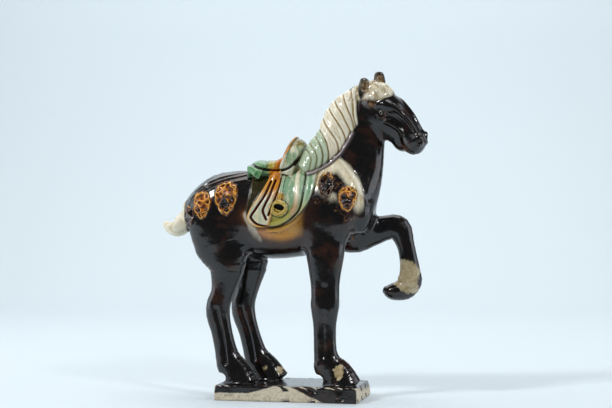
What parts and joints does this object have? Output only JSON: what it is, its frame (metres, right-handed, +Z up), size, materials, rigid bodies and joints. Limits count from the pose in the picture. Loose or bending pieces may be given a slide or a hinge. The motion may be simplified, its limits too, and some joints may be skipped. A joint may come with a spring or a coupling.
{
  "type": "tomb horse figure",
  "caption": "Glazed pottery tomb horse on a flat plinth, saddled, with a combed mane, a short flicked tail, pendant trappings and one foreleg raised.",
  "frame": {"origin": "middle of the plinth's flat underside", "axes": "+Z up, +X the way the horse faces along the plinth, +Y the horse's left side"},
  "size_m": [0.2474, 0.0738, 0.2984],
  "materials": {
    "lead_glaze": "glossy lead glaze over fired buff clay: black-brown hide, cream mane and tail, green and amber saddle"
  },
  "bodies": {
    "root": {"tomb_horse": "lead_glaze"}
  },
  "joints": []
}
